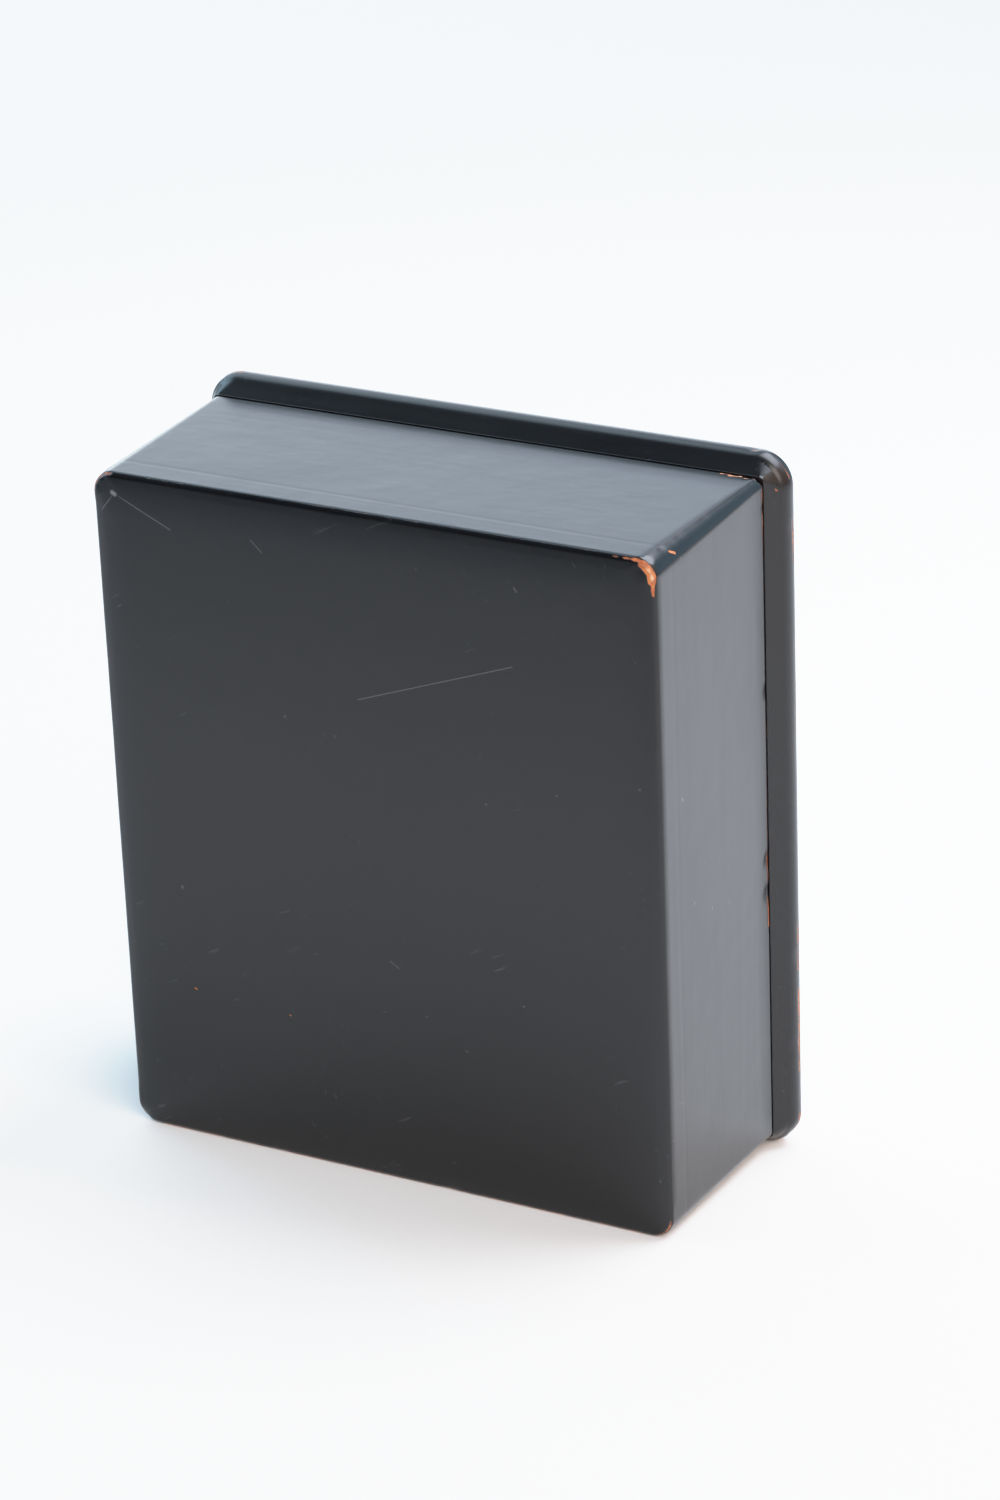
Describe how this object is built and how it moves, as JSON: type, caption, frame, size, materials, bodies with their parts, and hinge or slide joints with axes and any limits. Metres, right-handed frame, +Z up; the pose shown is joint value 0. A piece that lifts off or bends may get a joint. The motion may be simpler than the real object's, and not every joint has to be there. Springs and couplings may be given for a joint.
{
  "type": "lacquer box",
  "caption": "Small rectangular black lacquer box with a lift-off lid that stands proud all round, stood on a short side.",
  "frame": {"origin": "on the floor, under the middle of the box's bounding box as it stands on a short side", "axes": "+Z up, along the box's length; +Y from the base towards the lid; +X along the width. The box leans 3.8 degrees towards -Y, because it rests on the front edge of its base and on the proud edge of its lid"},
  "size_m": [0.095, 0.048, 0.1098],
  "materials": {
    "body_lacquer": "polished black lacquer over wood, worn to an orange-brown ground on its edges and corners",
    "lid_lacquer": "polished black lacquer over wood, worn on its edge"
  },
  "bodies": {
    "root": {"box_body": "body_lacquer", "lid": "lid_lacquer"}
  },
  "joints": []
}
